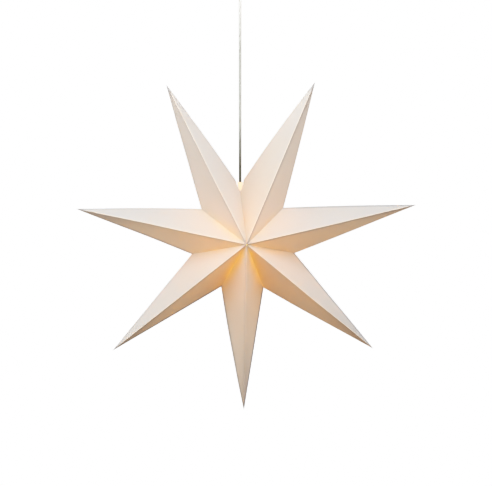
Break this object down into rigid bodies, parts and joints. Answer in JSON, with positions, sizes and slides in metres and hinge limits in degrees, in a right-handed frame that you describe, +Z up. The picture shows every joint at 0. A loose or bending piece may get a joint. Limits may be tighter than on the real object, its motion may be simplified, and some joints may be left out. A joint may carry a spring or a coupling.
{
  "type": "paper star lantern",
  "caption": "Folded paper star lantern with a lamp holder, globe bulb, cord and ceiling cup, hung from the ceiling.",
  "frame": {"origin": "on the ceiling, at the centre of the mounting bar's top face, above the cord", "axes": "+Z up against the ceiling, the star hangs down along -Z; the star's front faces -Y and +X is to the right in the picture"},
  "size_m": [0.7598, 0.2194, 1.042],
  "materials": {
    "paper": "matte translucent white star paper",
    "steel": "bright zinc-plated steel",
    "white_plastic": "satin white",
    "nylon": "natural nylon",
    "ceramic": "unglazed white",
    "brass": "bright brass",
    "opal_glass": "opal, lit warm white",
    "cord_sheath": "pale grey, semi-gloss"
  },
  "bodies": {
    "root": {"arm_bottom": "paper", "arm_lower_right": "paper", "arm_right": "paper", "arm_upper_right": "paper", "arm_upper_left": "paper", "arm_left": "paper", "arm_lower_left": "paper", "closing_clips": "steel", "wire_bail": "steel", "holder_cap": "white_plastic", "cord_screw": "nylon", "holder_sleeve": "white_plastic", "contact_carrier": "ceramic", "terminal_screws": "brass", "thread_shell": "brass", "centre_contact": "brass", "bulb": "opal_glass", "cord": "cord_sheath", "cord_grip": "white_plastic", "grip_nut": "white_plastic", "ceiling_cup": "white_plastic", "cup_screws": "steel", "mounting_bar": "steel", "terminal_block": "nylon"}
  },
  "joints": []
}
